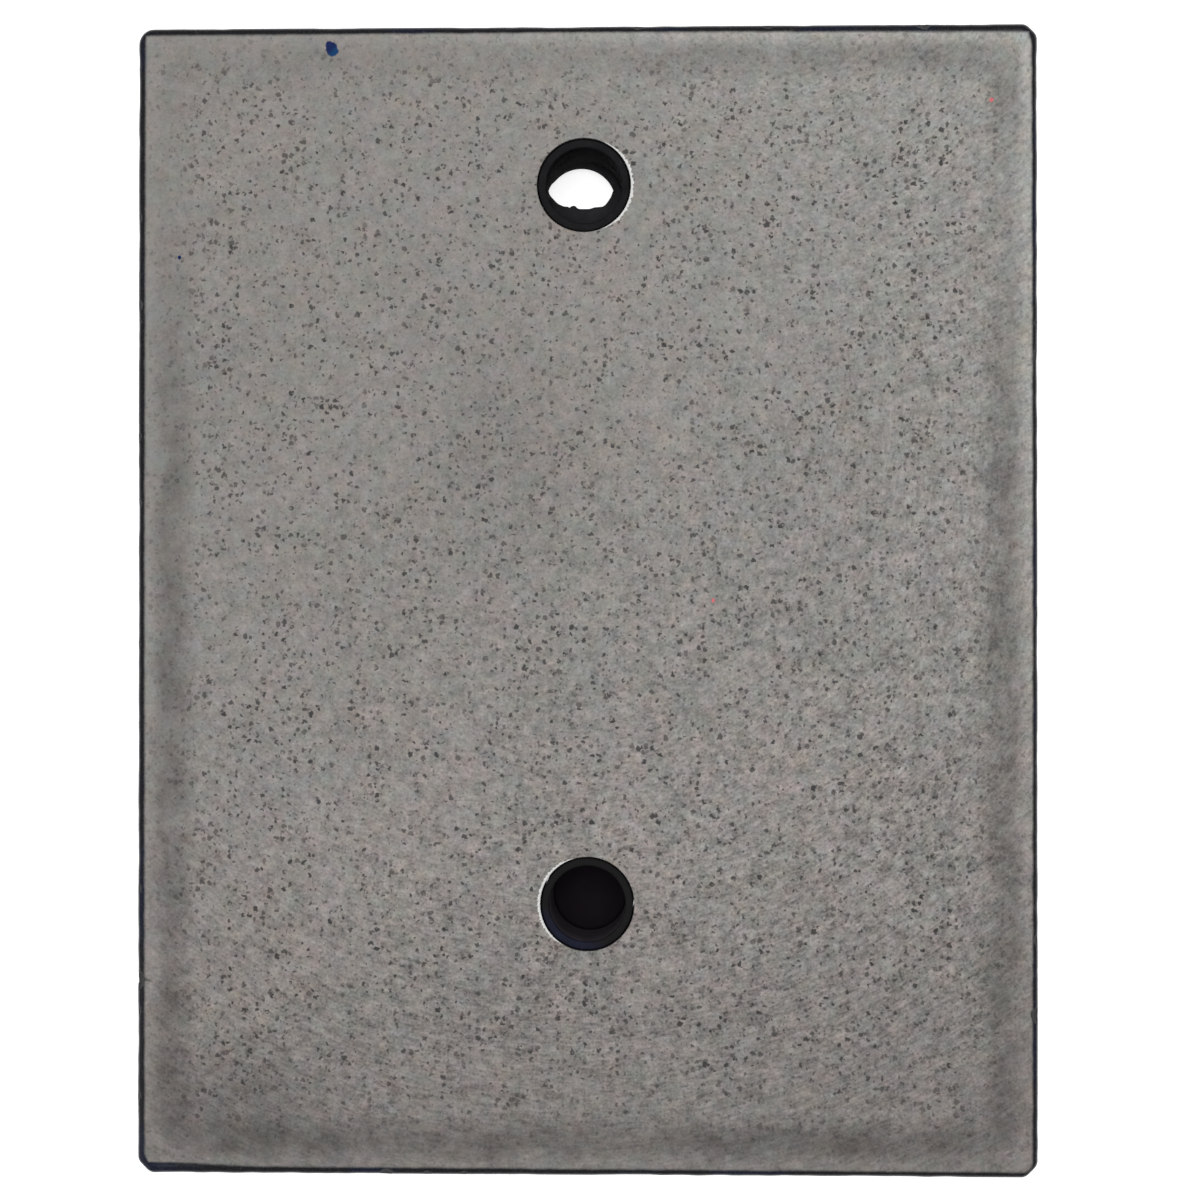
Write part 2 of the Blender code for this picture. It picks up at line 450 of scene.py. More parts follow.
zones = {  # where each change across the ground face starts and ends, in millimetres
    "drift": (-110.0, 120.0),  # along a slant towards the front right
    "farCorner": (60.0, 220.0),  # along the diagonal towards the rear right corner
    "frontEnd": (-105.0, -140.0),
    "markFade": (1.0, 16.0),  # in from the outline
    "grainFade": (3.0, 26.0),
    "smudgeIn": (2.5, 8.0),
    "smudgeOut": (17.0, 10.0),
    "smudgeFront": (115.0, 20.0),
    "smudgeRight": (-25.0, 45.0),
    "smudgeRear": (110.0, 135.0),
    "strip": (6.5, 2.5),
    "stripSide": (-10.0, 190.0),
    "frontPaintedShade": (-50.0, -150.0),
    "leftSide": (40.0, -90.0),
    "frontRed": (10.0, -110.0),
    "paintThin": (-211.2, -209.0),  # the large dab's lower right
    "paintRear": (120.0, 130.0),
}
ground = {  # the ground face: sizes in millimetres, and shades as shares of its tone
    "colour": (0.2656, 0.250, 0.2343),
    "tone": 1.168,
    "showing": (1.02, 0.07),  # such a pair is a strength at the rear left, and what the front right adds
    "frontFade": 0.2,
    "cloud": 45.0,
    "cloudShade": 0.2,
    "patch": 6.0,
    "patchShade": (0.3, 0.3),
    "lump": 2.2,
    "lumpShade": 1.3,
    "fine": 0.7,
    "fineShade": (0.62, 0.62),
    "markShade": (0.12, 0.83),
    "farMarkShade": 0.9,
    "paleShade": (0.14, 0.2),
    "palePitch": 1.3,
    "strongShade": (0.98, -0.06),
    "faintShade": 0.4,
    "grainWander": 8.0,
    "grainWanderSize": 15.0,
    "smudgeCorner": 16.0,
    "smudgeWander": 5.0,
    "smudgeWanderSize": 14.0,
    "smudge": 0.08,
    "smudgeFront": 0.27,
    "smudgeRear": 0.24,
    "smudgeMottle": 1.6,
    "stripShade": 0.30,
    # painted light and shade: darker at the front and the left, lighter towards the rear right corner
    "frontPaintedShade": 0.22,
    "leftPaintedShade": 0.03,
    "farCornerPaintedLight": 0.16,
    "redSize": 4.5,
    "redStray": 0.095,
    "broadRedStray": 0.026,
    "blueSize": 4.0,
    "blueStray": 0.060,
    "broadBlueStray": 0.014,
    "broadSize": 28.0,
    "farCornerRed": -0.0095,
    "frontRed": 0.0058,
    "driftBlue": 0.002,
    "rough": 0.60,
    "relief": 0.03 * mm,
}
shadeSpots = [  # (middle, half sizes, shade), in millimetres
    ((-17.0, 42.0), (30.0, 45.0), 0.1),
    ((-91.0, -131.0), (28.0, 17.0), 0.2),
]


def growing(pair, drift):
    return pair[0] + pair[1] * drift


def groundTone(finish, x, y, inward, marks, unevenness, drift, farCorner, specks):
    # how much the marks and grains show: most towards the front right, and little near the edges
    fade = finish.smooth(inward, *zones["markFade"], 0.7, 1.0)
    frontEnd = finish.smooth(y, *zones["frontEnd"])
    showing = growing(ground["showing"], drift) * fade * (1.0 - ground["frontFade"] * frontEnd)
    ragged = inward + ground["grainWander"] * finish.mottle(finish.place, ground["grainWanderSize"])
    grainy = showing * finish.smooth(ragged, *zones["grainFade"], 0.5, 0.94)
    strong, faint = specks

    cloud = finish.mottle(finish.place, ground["cloud"], 2.0)
    tone = ground["tone"] + ground["cloudShade"] * cloud + (unevenness + marks) * showing
    shifted = finish.vector("ADD", finish.place, (40.0, 0.0, 0.0))
    pale, paleSize, paleTone = finish.grains(finish.warped(shifted, 0.7, 0.6), ground["palePitch"])
    paleShown = finish.smooth(pale - 0.1 - 0.3 * paleSize, 0.15, -0.15)
    tone = tone + growing(ground["paleShade"], drift) * paleShown * paleTone
    strongShade = growing(ground["strongShade"], drift)
    tone = tone * (1.0 - strongShade * grainy * strong) * (1.0 - ground["faintShade"] * grainy * faint)

    # a darker smudge runs parallel to the edges, with a brighter strip outside it that grows brighter
    # towards the rear right
    wander = ground["smudgeWander"] * finish.mottle(finish.place, ground["smudgeWanderSize"])
    band = edgeDistance(finish, x, y, ground["smudgeCorner"]) + wander
    front = finish.smooth(y, *zones["smudgeFront"])
    rearRight = finish.smooth(x, *zones["smudgeRight"]) * finish.smooth(y, *zones["smudgeRear"])
    along = ground["smudge"] + ground["smudgeFront"] * front
    weight = finish.maths("MAXIMUM", along, ground["smudgeRear"] * rearRight)
    smudge = finish.smooth(band, *zones["smudgeIn"]) * finish.smooth(band, *zones["smudgeOut"])
    mottled = 1.0 + ground["smudgeMottle"] * finish.mottle(finish.place, 9.0, 2.0)
    tone = tone * (1.0 - smudge * weight * mottled)
    side = finish.smooth(x * 0.9 + y * 0.8, *zones["stripSide"], 0.0, ground["stripShade"])
    tone = tone * (1.0 + finish.smooth(inward, *zones["strip"]) * side)

    # and broad painted light and shade lie over all of it: lighter towards the rear right, darker towards
    # the front and the left, as the light fell; then two darker spots
    shade = 1.0 + ground["farCornerPaintedLight"] * farCorner
    shade = shade - finish.smooth(y - x * 0.15, *zones["frontPaintedShade"], 0.0, ground["frontPaintedShade"])
    shade = shade - finish.smooth(x, *zones["leftSide"], 0.0, ground["leftPaintedShade"])
    for centre, halfSizes, depth in shadeSpots:
        shade = shade - depth * shadeSpot(finish, x, y, centre, halfSizes)
    return tone * shade


def groundColour(finish, y, tone, drift, farCorner):  # it strays towards red, and by itself towards blue
    shifted = finish.vector("ADD", finish.place, (40.0, 0.0, 0.0))
    redder = ground["redStray"] * finish.mottle(finish.place, ground["redSize"], 3.0)
    redder = redder + ground["broadRedStray"] * finish.mottle(finish.place, ground["broadSize"], 1.0)
    bluer = ground["blueStray"] * finish.mottle(shifted, ground["blueSize"], 3.0)
    bluer = bluer + ground["broadBlueStray"] * finish.mottle(shifted, ground["broadSize"], 1.0)
    red, green, blue = ground["colour"]
    red = red + redder + ground["farCornerRed"] * farCorner
    red = red + ground["frontRed"] * finish.smooth(y, *zones["frontRed"])
    blue = blue + bluer + ground["driftBlue"] * drift
    return finish.join(red * tone, green * tone, blue * tone)


polish = {  # the polished rim and sides, in millimetres
    "rim": 1.62,  # in from the outline to where the grinding starts
    "rimSlant": 0.0022,  # the rim narrows towards the right
    "rimFlare": 0.0013,  # and widens towards both ends
    "rearWedge": ((0.0, 112.0, 0.0, 0.7), (144.0, 147.5)),  # two places where it widens more
    "frontWedge": ((-84.0, -114.0, 0.0, 1.1), (-144.5, -147.5)),
    "rimWander": 0.5,
    "rimWanderSize": 4.0,
    "squarerCorner": 2.4,
    "soft": (-0.35, 0.6),
    "crystalPitch": 1.5,
    "fineCrystals": 0.35,
    "rimCrystals": 0.12,  # how much of them the rounded edge keeps
    "edgeDepth": (1.5, 6.0),
    "blueSize": 26.0,
    "rough": 0.27,
}


def polishedColour(finish, z, speckle):  # black, with blue patches and grey crystals in it
    pushed = finish.warped(finish.place, 1.2, 1.4)
    reach, size, glint = finish.grains(pushed, polish["crystalPitch"])
    crystals = finish.smooth(reach - 0.1 - 0.5 * size, 0.1, -0.1) * glint * glint
    crystals = crystals + polish["fineCrystals"] * finish.smooth(speckle, 0.04, 0.22)
    shallow, deep = [faceLevel / mm - depth for depth in polish["edgeDepth"]]
    crystals = crystals * finish.smooth(z, shallow, deep, polish["rimCrystals"], 1.0)
    blueing = finish.smooth(finish.mottle(finish.place, polish["blueSize"], 2.0), 0.0, 0.14)
    colour = finish.blend(blueing, rgb(*stone["black"]), rgb(*stone["blueBlack"]))
    return finish.blend(crystals, colour, rgb(*stone["crystal"]))


def groundShare(finish, x, y, inward):  # 1 where the face is ground, 0 where rim and sides are polished
    wander = polish["rimWander"] * finish.mottle(finish.place, polish["rimWanderSize"], 3.0)
    wedges = 0.0
    for across, along in (polish["rearWedge"], polish["frontWedge"]):
        wedges = wedges + finish.smooth(x, *across) * finish.smooth(y, *along)
    rimLine = polish["rim"] - x * polish["rimSlant"] + finish.maths("ABSOLUTE", y) * polish["rimFlare"]
    rimLine = rimLine + wander + wedges
    # the ground face has one round corner, at the front right, and its other three are squarer
    roundCorner = finish.smooth(x, -10.0, 10.0) * finish.smooth(y, 10.0, -10.0)
    squarer = (edgeDistance(finish, x, y, polish["squarerCorner"]) - inward) * (1.0 - roundCorner)
    return finish.smooth(inward + squarer - rimLine, *polish["soft"])


def makeHonedGranite():
    finish = Finish("honed_granite", {"Specular IOR Level": stone["groundGloss"]})
    x, y, z = finish.split(finish.place)
    inward = edgeDistance(finish, x, y, slabSizes["cornerRadius"] / mm)
    strong, faint = stoneSpecks(finish)
    drift = finish.smooth(x * 0.55 - y * 0.8, *zones["drift"])
    farCorner = finish.smooth(x + y, *zones["farCorner"])
    patch = finish.mottle(finish.place, ground["patch"], 2.0, 0.6)
    lumps = finish.mottle(finish.place, ground["lump"], 2.0, 0.6)
    fine = finish.mottle(finish.place, ground["fine"], 1.0)
    # the scratches and the glint painted along them
    marks = growing(ground["markShade"], drift) * scratchesAndGlint(finish, x, y, scratchGlint["centre"])
    marks = marks + ground["farMarkShade"] * farCorner * scratchesAndGlint(finish, x, y, scratchGlint["farCentre"])
    unevenness = growing(ground["patchShade"], drift) * patch
    unevenness = unevenness + growing(ground["fineShade"], drift) * (ground["lumpShade"] * lumps + fine)

    tone = groundTone(finish, x, y, inward, marks, unevenness, drift, farCorner, (strong, faint))
    honed = groundColour(finish, y, tone, drift, farCorner)
    isHoned = groundShare(finish, x, y, inward)
    colour = finish.blend(isHoned, polishedColour(finish, z, fine + lumps), honed)
    chips = finish.node("ShaderNodeAttribute", {"attribute_name": "chipped"}, None, "Fac")
    colour = finish.blend(chips, colour, rgb(*stone["chipped"]))

    onFace = finish.smooth(z, faceLevel / mm - 0.4, faceLevel / mm - 0.1)
    # painted glints: pale crescents on the face just outside the bores
    paintedGlints = paintedGlint(finish, x, y, upperBore, crescent["upperHeading"])
    paintedGlints = paintedGlints + paintedGlint(finish, x, y, lowerBore, crescent["lowerHeading"])
    colour = finish.blend(paintedGlints * onFace, colour, rgb(*stone["paintedGlint"]))
    dabs = spots(finish, x, y, paintDabs)
    thin = finish.smooth(x - y, *zones["paintThin"]) * finish.smooth(y, *zones["paintRear"])
    paint = finish.blend(thin, rgb(*stone["paint"]), rgb(*stone["thinPaint"]))
    colour = finish.blend(dabs * onFace, colour, paint)
    colour = finish.blend(spots(finish, x, y, rougeDots) * onFace, colour, rgb(*stone["rouge"]))
    finish.show("Base Color", colour)

    honedRough = ground["rough"] + 0.25 * fine - 0.12 * strong
    polishedRough = polish["rough"] + 0.3 * patch + 0.5 * fine
    rough = polishedRough + (honedRough - polishedRough) * isHoned + 0.4 * dabs
    finish.show("Roughness", rough + (stone["chippedRough"] - rough) * chips)
    pits = 0.5 * fine + 0.25 * marks - 0.6 * strong - 0.25 * faint
    finish.relief(0.5 + isHoned * pits + 0.25 * chips * patch, ground["relief"])
    return finish


sawing = {
    "centre": (-420.0, 60.0, 0.0),  # the saw's marks curve round this point, in millimetres
    "pitch": 1.4,
    "rough": 0.78,
    "relief": 0.12 * mm,
}


def makeSawnGranite():
    finish = Finish("sawn_granite", {"Specular IOR Level": stone["roughGloss"]})
    x, y, _ = finish.split(finish.place)
    strong, faint = stoneSpecks(finish)
    radius = finish.length(finish.vector("SUBTRACT", finish.join(x, y, 0.0), sawing["centre"]))
    kerf = finish.mottle(finish.join(radius / sawing["pitch"], y * 0.004, 0.0), 1.0, 3.0)
    patch = finish.mottle(finish.place, 18.0, 3.0)
    tone = (1.0 + 0.9 * kerf + 0.5 * patch) * (1.0 - 0.55 * strong - 0.3 * faint)
    finish.show("Base Color", finish.tinted(rgb(*stone["sawn"]), tone))
    finish.show("Roughness", sawing["rough"] + 0.3 * kerf)
    finish.relief(0.5 + 0.8 * kerf - 0.4 * strong, sawing["relief"])
    return finish


drilling = {
    "pitch": 0.5,  # millimetres between the drill's rings
    "rough": 0.62,
    "relief": 0.08 * mm,
}


def makeDrilledGranite():
    finish = Finish("drilled_granite", {"Specular IOR Level": stone["roughGloss"]})
    x, _, z = finish.split(finish.place)
    strong, faint = stoneSpecks(finish)
    rings = finish.mottle(finish.join(0.0, x * 0.05, z / drilling["pitch"]), 1.0, 3.0)
    tone = (1.0 + 0.8 * rings) * (1.0 - 0.4 * strong)
    finish.show("Base Color", finish.tinted(rgb(*stone["drilled"]), tone))
    finish.show("Roughness", drilling["rough"] + 0.3 * rings)
    finish.relief(0.5 + 0.8 * rings + 0.2 * faint, drilling["relief"])
    return finish


slabSizes = {
    "cell": 5.0 * mm,  # pitch of the squares that the two large faces are laid out in
    "cornerRadius": 4.0 * mm,
    "clip": 3.3 * mm,  # the two front corners are clipped, and the clips' own corners eased
    "rearClip": 2.9 * mm,  # the rear right corner is clipped less, and the rear left one is round
    "clipEase": 1.1 * mm,
    "faceArris": 1.8 * mm,
    "soleArris": 1.2 * mm,
    "boreArris": 0.3 * mm,
    "holdingStrip": 0.4 * mm,  # flat strip inside each rounded edge
    "boreWindow": 17.4 * mm,  # the squares this near to a bore make way for it
    "rimCuts": 7,  # cuts across each square's length where the rim is fine
    "wander": 0.2 * mm,  # how far the hand-finished edge strays inwards
    "wanderReach": 3 * mm,  # in from the outline
    "wanderDrop": 10 * mm,  # the sides get truer down to here
    "longWave": 16 * mm,
    "shortWave": 4 * mm,
    "shortWaveShare": 0.8,
    "sideCuts": (2.5, 3.4, 5.0, 10.0, 16.0, 22.0, 27.0, 28.1),  # millimetres below the face
}
smallChips = {  # all round both edges, in millimetres
    "seed": 7,
    "count": 46,
    "onEnds": 0.44,  # the share of them on the two short edges
    "radius": (0.7, 1.7),
    "depth": (0.2, 0.42),  # as a share of the radius
    "rough": 0.16,
    "roughSize": 0.8,
}
bigChips = [  # (x, y, radius, depth), in millimetres, on the face's edge
    (-117.5, -99.4, 2.6, 1.3),
    (117.5, -107.8, 2.2, 1.1),
    (-52.0, -150.0, 2.2, 0.7),
    (88.0, 150.0, 2.0, 0.6),
    (117.5, 64.0, 1.9, 0.5),
]


def isNearBore(point, reach):
    return min((point.xy - upperBore.xy).length, (point.xy - lowerBore.xy).length) < reach


def outlineDistance(point):  # how far inside the slab's rounded outline a point is
    corner = slabSizes["cornerRadius"]
    across = abs(point.x) - (halfWidth - corner)
    along = abs(point.y) - (halfLength - corner)
    beyond = Vector((max(across, 0), max(along, 0))).length
    return corner - beyond - min(max(across, along), 0)


def outwardFrom(point):  # the way out of the slab at a point near its outline
    corner = slabSizes["cornerRadius"]
    across = max(abs(point.x) - (halfWidth - corner), 0)
    along = max(abs(point.y) - (halfLength - corner), 0)
    out = Vector((math.copysign(across, point.x), math.copysign(along, point.y), 0))
    return out.normalized() if out.length > 0 else out


def bevelEdges(bm, edges, width, segments):
    bmesh.ops.bevel(
        bm, geom=edges, offset=width, offset_type="OFFSET", affect="EDGES",
        segments=segments, profile=0.5, material=-1,
    )


def bevelCorners(bm, corners, width, segments):
    return bmesh.ops.bevel(
        bm, geom=corners, offset=width, offset_type="OFFSET", affect="VERTICES",
        segments=segments, profile=0.5, material=-1,
    )


def roundCorners(bm):
    def corner(vert):
        return abs(abs(vert.co.x) - halfWidth) < hair and abs(abs(vert.co.y) - halfLength) < hair

    rearLeft = [v for v in bm.verts if corner(v) and v.co.y > 0 and v.co.x < 0]
    bevelCorners(bm, rearLeft, slabSizes["cornerRadius"], 10)
    rearRight = [v for v in bm.verts if corner(v) and v.co.y > 0]
    clipped = bevelCorners(bm, rearRight, slabSizes["rearClip"], 1)["verts"]
    clipped += bevelCorners(bm, [v for v in bm.verts if corner(v)], slabSizes["clip"], 1)["verts"]
    bevelCorners(bm, [v for v in clipped if v.is_boundary], slabSizes["clipEase"], 5)


def evenAngle(arm):  # spaces points that run round a square evenly round a circle
    if abs(arm.x) > abs(arm.y):
        return (0 if arm.x > 0 else math.pi) + math.pi / 4 * arm.y / arm.x
    return math.copysign(math.pi / 2, arm.y) - math.pi / 4 * arm.x / arm.y


def openBore(bm, axis):  # takes out the squares round a bore and fills back to its circle
    window = slabSizes["boreWindow"]

    def inWindow(point):
        return max(abs(point.x - axis.x), abs(point.y - axis.y)) < window

    def squareEdges():
        nearby = [v for v in bm.verts if (v.co - axis).xy.length < 2 * window]
        return [e for e in bm.edges if e.is_boundary and e.verts[0] in nearby and e.verts[1] in nearby]

    bmesh.ops.delete(bm, geom=[f for f in bm.faces if inWindow(f.calc_center_median())], context="FACES")
    bmesh.ops.subdivide_edges(bm, edges=squareEdges(), cuts=2)
    grown = bmesh.ops.extrude_edge_only(bm, edges=squareEdges())
    ring = [item for item in grown["geom"] if isinstance(item, bmesh.types.BMVert)]
    middle = sum((v.co for v in ring), Vector()) / len(ring)
    for vert in ring:
        angle = evenAngle(vert.co - middle)
        vert.co.x = axis.x + boreRadius * math.cos(angle)
        vert.co.y = axis.y + boreRadius * math.sin(angle)


def rimEdges(bm, level, nearBore):
    reach = boreRadius + 1.0 * mm
    return [
        e for e in bm.edges
        if all(abs(v.co.z - level) < hair for v in e.verts)
        and e.calc_face_angle(0) > 1.0  # radians
        and isNearBore(e.verts[0].co, reach) == nearBore
    ]


def refineRim(bm):  # fine pieces all along the rim, so that its chips are real dents
    depth = slabSizes["faceArris"] + slabSizes["holdingStrip"] + 0.1 * mm

    def alongRim(edge):
        first, second = [v.co for v in edge.verts]
        inner = [outlineDistance(first), outlineDistance(second)]
        level = abs(first.z - second.z) < hair
        parallel = abs(inner[0] - inner[1]) < 0.2 * mm
        return level and parallel and max(inner) < depth and edge.calc_length() > 2 * mm

    bmesh.ops.subdivide_edges(
        bm, edges=[e for e in bm.edges if alongRim(e)], cuts=slabSizes["rimCuts"], use_grid_fill=True
    )


def wanderRim(bm):
    for vert in bm.verts:
        fade = max(0.0, 1 - outlineDistance(vert.co) / slabSizes["wanderReach"])
        if fade > 0:
            below = min(max((faceLevel - vert.co.z) / slabSizes["wanderDrop"], 0), 1)
            long = noise.noise(vert.co / slabSizes["longWave"])
            short = noise.noise(vert.co / slabSizes["shortWave"])
            wave = long + slabSizes["shortWaveShare"] * (1 - below) * short
            stray = min(max(0.3 + wave, 0), 1) * (1 - 0.6 * below)
            vert.co -= outwardFrom(vert.co) * slabSizes["wander"] * fade * stray


def scoopChips(bm):  # presses round hollows into the rim, and marks what they touch
    rng = random.Random(smallChips["seed"])
    hollows = [(Vector((x * mm, y * mm, faceLevel)), r * mm, d * mm, 1.0) for x, y, r, d in bigChips]
    for _ in range(smallChips["count"]):
        share = rng.uniform(-1, 1)
        side = rng.choice((-1, 1))
        onEnd = rng.random() < smallChips["onEnds"]
        x, y = (share * halfWidth, side * halfLength) if onEnd else (side * halfWidth, share * halfLength)
        level, rise = (faceLevel, 1) if rng.random() < 0.5 else (soleLevel, -1)
        radius = rng.uniform(*smallChips["radius"]) * mm
        hollows.append((Vector((x, y, level)), radius, radius * rng.uniform(*smallChips["depth"]), rise))
    mark = bm.verts.layers.float.new("chipped")
    for place, radius, depth, rise in hollows:
        out = (outwardFrom(place) + Vector((0, 0, rise))).normalized()
        edge = slabSizes["faceArris"] if rise > 0 else slabSizes["soleArris"]
        surface = place - out * edge * (math.sqrt(2) - 1)
        centre = surface + out * (radius - depth)
        for vert in bm.verts:
            gap = vert.co - centre
            wobble = noise.noise(vert.co / (smallChips["roughSize"] * mm))
            reach = radius * (1 + smallChips["rough"] * wobble)
            if gap.length < reach:
                vert.co = centre + gap.normalized() * reach
                vert[mark] = 1.0


def buildSlab():
    bm = bmesh.new()
    columns = round(2 * halfWidth / slabSizes["cell"])
    rows = round(2 * halfLength / slabSizes["cell"])
    bmesh.ops.create_grid(bm, x_segments=columns, y_segments=rows, size=1)
    bmesh.ops.scale(bm, verts=bm.verts, vec=(halfWidth, halfLength, 1))
    bmesh.ops.translate(bm, verts=bm.verts, vec=(0, 0, faceLevel))
    roundCorners(bm)
    openBore(bm, upperBore)
    openBore(bm, lowerBore)
    grown = bmesh.ops.extrude_face_region(bm, geom=bm.faces[:])
    sunk = [item for item in grown["geom"] if isinstance(item, bmesh.types.BMVert)]
    bmesh.ops.translate(bm, verts=sunk, vec=(0, 0, soleLevel - faceLevel))
    bmesh.ops.recalc_face_normals(bm, faces=bm.faces)
    bevelEdges(bm, rimEdges(bm, faceLevel, False), slabSizes["faceArris"], 6)
    bevelEdges(bm, rimEdges(bm, soleLevel, False), slabSizes["soleArris"], 4)
    bevelEdges(bm, rimEdges(bm, faceLevel, True), slabSizes["boreArris"], 3)
    bevelEdges(bm, rimEdges(bm, soleLevel, True), slabSizes["boreArris"], 3)
    for level in (faceLevel, soleLevel):
        flat = [f for f in bm.faces if all(abs(v.co.z - level) < merge for v in f.verts)]
        strip = slabSizes["holdingStrip"]
        bmesh.ops.inset_region(bm, faces=flat, thickness=strip, use_boundary=True, use_even_offset=True)
    for drop in slabSizes["sideCuts"]:
        everything = bm.verts[:] + bm.edges[:] + bm.faces[:]
        level = (0, 0, faceLevel - drop * mm)
        bmesh.ops.bisect_plane(bm, geom=everything, plane_co=level, plane_no=(0, 0, 1))
    refineRim(bm)
    for face in bm.faces:  # ground or polished, sawn underneath, drilled in the bores
        middle = face.calc_center_median()
        inBore = isNearBore(middle, boreRadius + 0.02 * mm)
        underneath = middle.z < soleLevel + 0.05 * mm
        face.material_index = 2 if inBore else 1 if underneath else 0
    wanderRim(bm)
    scoopChips(bm)
    finishes = [makeHonedGranite(), makeSawnGranite(), makeDrilledGranite()]
    addPiece("granite_plate", bm, finishes, ["granite_slab"])


cup = {
    "wall": 2.05 * mm,
    "floor": 2.5 * mm,
    "lipRound": 0.5 * mm,
    "floorFillet": 1.0 * mm,
    "segments": 96,
    "windowSegments": 36,
    "windowCentre": (-1.5 * mm, -0.3 * mm),  # of the cut in the upper cup's floor, from the cup's axis
    "windowRadius": 9.3 * mm,
    "windowTurn": (21.4, 136.0),  # the cut is round between these headings, and follows the painted shadow's ragged edge for the rest
    "windowRise": 18.0 * mm,  # how far above the floor it scores the wall
    "lean": (0.046, -0.171),  # sideways for each millimetre up
}
rubber = {  # what all the rubber pieces share, in millimetres
    "grain": 0.35,
    "film": 4.0,
    "crumbPitch": 1.3,
    "crumb": (0.16, 0.155, 0.15),
    "lipBand": (1.6, 0.4),  # below the top of a cup
    "floorBand": (6.0, 3.0),  # above its underside
    "blueReflectionSide": (-5.0, -10.0),  # where the painted bluish reflection lies: along a slant from the lower cup's axis towards the front left
    "relief": 0.04 * mm,
}
upperRubber = {
    # the wall below the lip is painted darker, as shade down the bore
    "deep": (0.0058, 0.0050, 0.0064),
    "lip": (0.0162, 0.0158, 0.0172),
    "lipBlueReflection": (0.0162, 0.0158, 0.0172),
    "floor": (0.034, 0.034, 0.037),  # painted shade: the floor left round the window is as grey as the shaded ground that it stands for
    "gloss": 0.02,
    "roughness": 0.85,
    "crumbs": 0.3,
}
lowerRubber = {
    # the wall below the lip is painted lighter, as light down the bore, and the floor darker, as shade
    "deep": (0.090, 0.077, 0.092),
    "lip": (0.0122, 0.0116, 0.0120),
    "lipBlueReflection": (0.0150, 0.0170, 0.0345),  # a painted bluish reflection
    "floor": (0.0078, 0.0052, 0.0078),
    "gloss": 0.08,
    "roughness": 0.72,
    "crumbs": 0.1,
}
shadowEdge = [  # the painted shadow's ragged edge: the cup floor left here stands in for shaded ground, and these are the edge's main turns, round the window's left tip to its right tip, in millimetres
    (-8.8, 5.55), (-9.55, 4.85), (-10.1, 4.0), (-10.45, 3.1), (-10.25, 2.2), (-9.65, 1.35), (-8.4, 0.0),
    (-7.8, -0.5), (-7.0, -0.9), (-6.2, -1.2), (-5.3, -1.25), (-4.7, -1.5), (-4.2, -1.1), (-3.5, -1.0),
    (-3.05, -1.2), (-2.6, -1.7), (-2.0, -1.9), (0.4, -1.9), (1.2, -1.75), (2.0, -1.45), (4.2, -1.3),
    (5.0, -0.8), (5.8, 0.2), (6.5, 1.3),
]


def cupColour(finish, look):  # painted light and shade: the lip in the rubber's own colour, and the wall below it and the floor painted lighter or darker as light falls down the bore
    x, y, z = finish.split(finish.place)
    onLip = finish.smooth(z, *[linerHigh.z / mm - depth for depth in rubber["lipBand"]])
    onFloor = finish.smooth(z, *[linerLow.z / mm + height for height in rubber["floorBand"]])
    # a painted bluish reflection on the lower cup's lip, towards the front left
    reflectionShare = finish.smooth(x * 0.5 + (y - lowerBore.y / mm) * 0.85, *rubber["blueReflectionSide"])
    lip = finish.blend(reflectionShare, rgb(*look["lip"]), rgb(*look["lipBlueReflection"]))
    shade = finish.blend(onLip, rgb(*look["deep"]), lip)
    return finish.blend(onFloor, shade, rgb(*look["floor"]))


def makeRubber(name, look):
    finish = Finish(name, {"Specular IOR Level": look["gloss"]})
    grit = finish.mottle(finish.place, rubber["grain"], 2.0)
    film = finish.mottle(finish.place, rubber["film"], 3.0, 0.6)
    dust, size, own = finish.grains(finish.warped(finish.place, 0.8, 0.4), rubber["crumbPitch"])
    crumbs = finish.smooth(dust / (0.05 + 0.16 * size * size), 1.0, 0.4) * own * look["crumbs"]
    plain = cupColour(finish, look) if "lip" in look else rgb(*look["colour"])
    shade = finish.tinted(plain, 1.0 + 1.1 * film + 0.5 * grit)
    finish.show("Base Color", finish.blend(crumbs, shade, rgb(*rubber["crumb"])))
    finish.show("Roughness", look["roughness"] + 0.35 * film + 0.2 * crumbs)
    finish.relief(0.5 + 0.5 * grit + 0.3 * film, rubber["relief"])
    return finish


# each cup's floor is a dark sheet that stands in for the shade seen down the bore
def cupProfile():
    lip = cup["lipRound"]
    fillet = cup["floorFillet"]
    inner = linerRadius - cup["wall"]
    floorTop = linerLow.z + cup["floor"]
    quarters = (0.25, 0.5, 0.75)
    profile = [Vector((0, floorTop))]
    profile += [Vector((inner * share, floorTop)) for share in quarters]
    profile += arc(Vector((inner - fillet, floorTop + fillet)), fillet, -90, 0, 6)
    profile += [Vector((inner, floorTop + (linerHigh.z - floorTop) * share)) for share in quarters]
    profile += arc(Vector((inner + lip, linerHigh.z - lip)), lip, 180, 90, 5)
    profile += arc(Vector((linerRadius - lip, linerHigh.z - lip)), lip, 90, 0, 5)
    profile += arc(Vector((linerRadius - lip, linerLow.z + lip)), lip, 0, -90, 5)
    profile.append(Vector((0, linerLow.z)))
    return profile


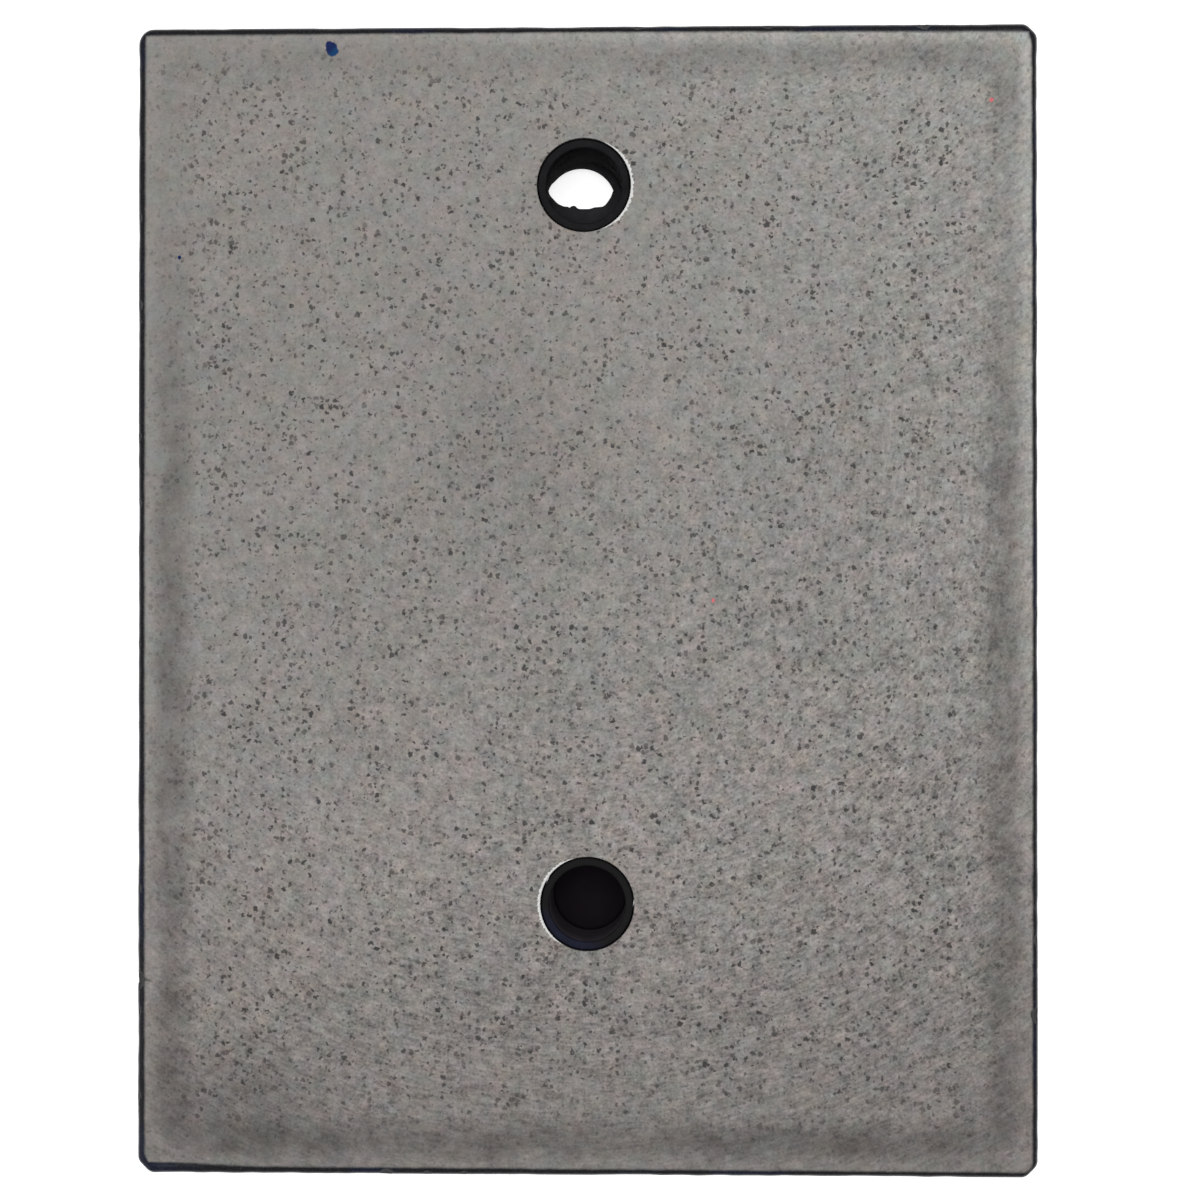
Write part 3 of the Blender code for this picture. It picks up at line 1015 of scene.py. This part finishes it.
def windowCutter():  # a leaning prism: part of a circle, closed by the painted shadow's edge
    start, end = cup["windowTurn"]
    outline = arc(Vector(cup["windowCentre"]), cup["windowRadius"], start, end, cup["windowSegments"])
    outline += [Vector(turn) * mm for turn in shadowEdge]
    bm = bmesh.new()
    verts = [bm.verts.new((upperBore.xy + point).to_3d()) for point in outline]
    grown = bmesh.ops.extrude_face_region(bm, geom=[bm.faces.new(verts)])
    raised = [item for item in grown["geom"] if isinstance(item, bmesh.types.BMVert)]
    floorTop = linerLow.z + cup["floor"]
    for vert in bm.verts:  # the outline holds at the top of the floor, and leans away from there
        up = cup["windowRise"] if vert in raised else -cup["floor"] - mm
        vert.co += Vector((cup["lean"][0] * up, cup["lean"][1] * up, floorTop + up))
    bmesh.ops.recalc_face_normals(bm, faces=bm.faces)
    mesh = bpy.data.meshes.new("window_cutter")
    bm.to_mesh(mesh)
    bm.free()
    cutter = bpy.data.objects.new("window_cutter", mesh)
    bpy.context.scene.collection.objects.link(cutter)
    return cutter


def cutAway(piece, cutter):  # applies a Boolean cut and removes its cutter
    modifier = piece.modifiers.new("cut", "BOOLEAN")
    modifier.solver = "EXACT"
    modifier.object = cutter
    graph = bpy.context.evaluated_depsgraph_get()
    mesh = bpy.data.meshes.new_from_object(piece.evaluated_get(graph))
    piece.modifiers.clear()
    piece.data = mesh
    bpy.data.objects.remove(cutter)


def buildCups():
    lower = turned(cupProfile(), cup["segments"], lowerBore)
    clean = makeRubber("clean_rubber_painted_light_and_shade", lowerRubber)
    addPiece("lower_cup", lower, [clean], ["lower_bore_liner"])
    upper = turned(cupProfile(), cup["segments"], upperBore)
    dusty = makeRubber("dusty_rubber_painted_light_and_shade", upperRubber)
    piece = addPiece("upper_cup", upper, [dusty], ["upper_bore_liner"])
    cutAway(piece, windowCutter())


footRubber = {
    "colour": (0.026, 0.026, 0.026),
    "gloss": 0.35,
    "roughness": 0.72,
    "crumbs": 0.9,
}
foot = {
    "taper": 1.0 * mm,
    "edge": 0.8 * mm,
    "topEase": 0.2 * mm,
    "dish": 2.2 * mm,  # radius of the hollow in the middle of the sole
    "dishDepth": 0.7 * mm,
    "grooves": (4.4 * mm, 6.4 * mm),
    "grooveWidth": 0.7 * mm,
    "grooveDepth": 0.45 * mm,
    "segments": 64,
}


def footProfile(radius, height):
    sole = radius - foot["taper"]
    edge = foot["edge"]
    ease = foot["topEase"]
    profile = [Vector((0, height)), Vector((radius - ease, height)), Vector((radius, height - ease))]
    profile += arc(Vector((sole - edge, edge)), edge, 0, -90, 5)
    for middle in reversed(foot["grooves"]):
        profile += arc(Vector((middle, 0)), foot["grooveWidth"] / 2, 0, 180, 6)
    deep = foot["dishDepth"]
    profile += [Vector((foot["dish"], 0)), Vector((foot["dish"] * 0.8, deep)), Vector((0, deep))]
    return profile


def buildFeet():
    finish = makeRubber("foot_rubber", footRubber)
    for name in ("foot_rear_left", "foot_rear_right", "foot_front_left", "foot_front_right"):
        low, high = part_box(name)
        bm = turned(footProfile((high.x - low.x) / 2, high.z), foot["segments"], axisOf(name))
        addPiece(name.replace("foot_", "pad_"), bm, [finish], [name])


makeCamera()
makeStudio()
print("studio ready")
buildSlab()
print("slab ready")
buildCups()
print("cups ready")
buildFeet()
print("feet ready")
